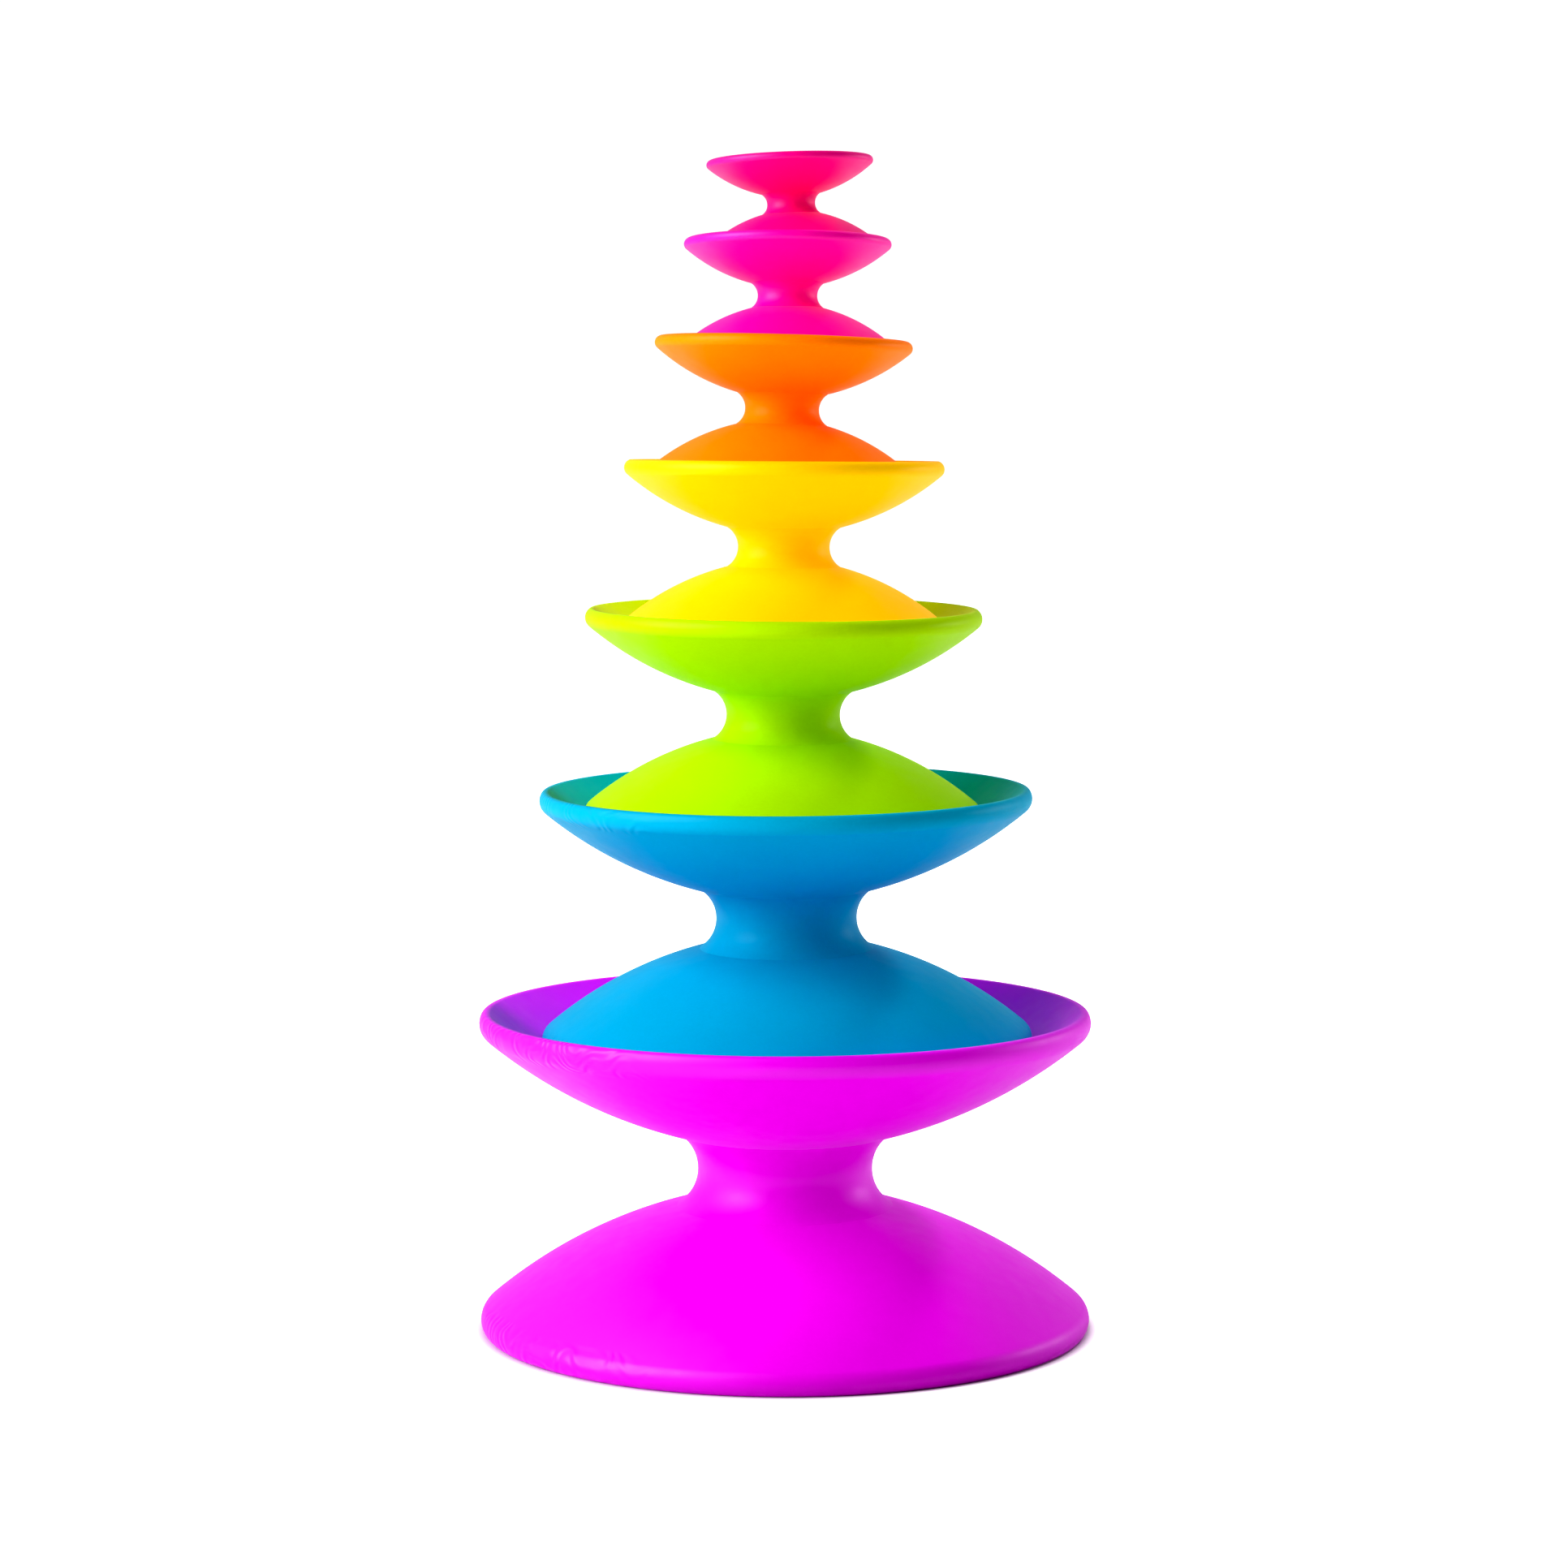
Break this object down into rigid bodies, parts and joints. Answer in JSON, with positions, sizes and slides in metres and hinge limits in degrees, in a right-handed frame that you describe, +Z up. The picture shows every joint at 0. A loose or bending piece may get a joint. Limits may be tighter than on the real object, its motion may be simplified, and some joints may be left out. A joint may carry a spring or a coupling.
{
  "type": "stacking cup tower",
  "caption": "Tower of graduated hourglass cups, each a bowl above and below a waisted neck, resting one inside the bowl of the next.",
  "frame": {"origin": "centre of the largest cup's foot, on the surface the tower stands on", "axes": "+Z up the tower, -Y towards the viewer, +X to the viewer's right"},
  "size_m": [0.14, 0.14, 0.2673],
  "materials": {
    "magenta": "satin magenta silicone with a fine grain",
    "blue": "satin cyan-blue silicone with a fine grain",
    "green": "satin lime-green silicone with a fine grain",
    "yellow": "satin yellow silicone with a fine grain",
    "orange": "satin orange silicone with a fine grain",
    "pink": "satin magenta-pink silicone with a fine grain",
    "rose": "satin rose-red silicone with a fine grain"
  },
  "bodies": {
    "cup_1": {"cup_1_magenta": "magenta"},
    "cup_2": {"cup_2_blue": "blue"},
    "cup_3": {"cup_3_green": "green"},
    "cup_4": {"cup_4_yellow": "yellow"},
    "cup_5": {"cup_5_orange": "orange"},
    "cup_6": {"cup_6_pink": "pink"},
    "cup_7": {"cup_7_rose": "rose"}
  },
  "joints": [
    {"name": "lift_2", "type": "slide", "parent": "cup_1", "child": "cup_2", "axis": [0, 0, 1], "range_m": [0, 0.042]},
    {"name": "lift_3", "type": "slide", "parent": "cup_2", "child": "cup_3", "axis": [0, 0, 1], "range_m": [0, 0.034]},
    {"name": "lift_4", "type": "slide", "parent": "cup_3", "child": "cup_4", "axis": [0, 0, 1], "range_m": [0, 0.027]},
    {"name": "lift_5", "type": "slide", "parent": "cup_4", "child": "cup_5", "axis": [0, 0, 1], "range_m": [0, 0.022]},
    {"name": "lift_6", "type": "slide", "parent": "cup_5", "child": "cup_6", "axis": [0, 0, 1], "range_m": [0, 0.018]},
    {"name": "lift_7", "type": "slide", "parent": "cup_6", "child": "cup_7", "axis": [0, 0, 1], "range_m": [0, 0.014]}
  ]
}
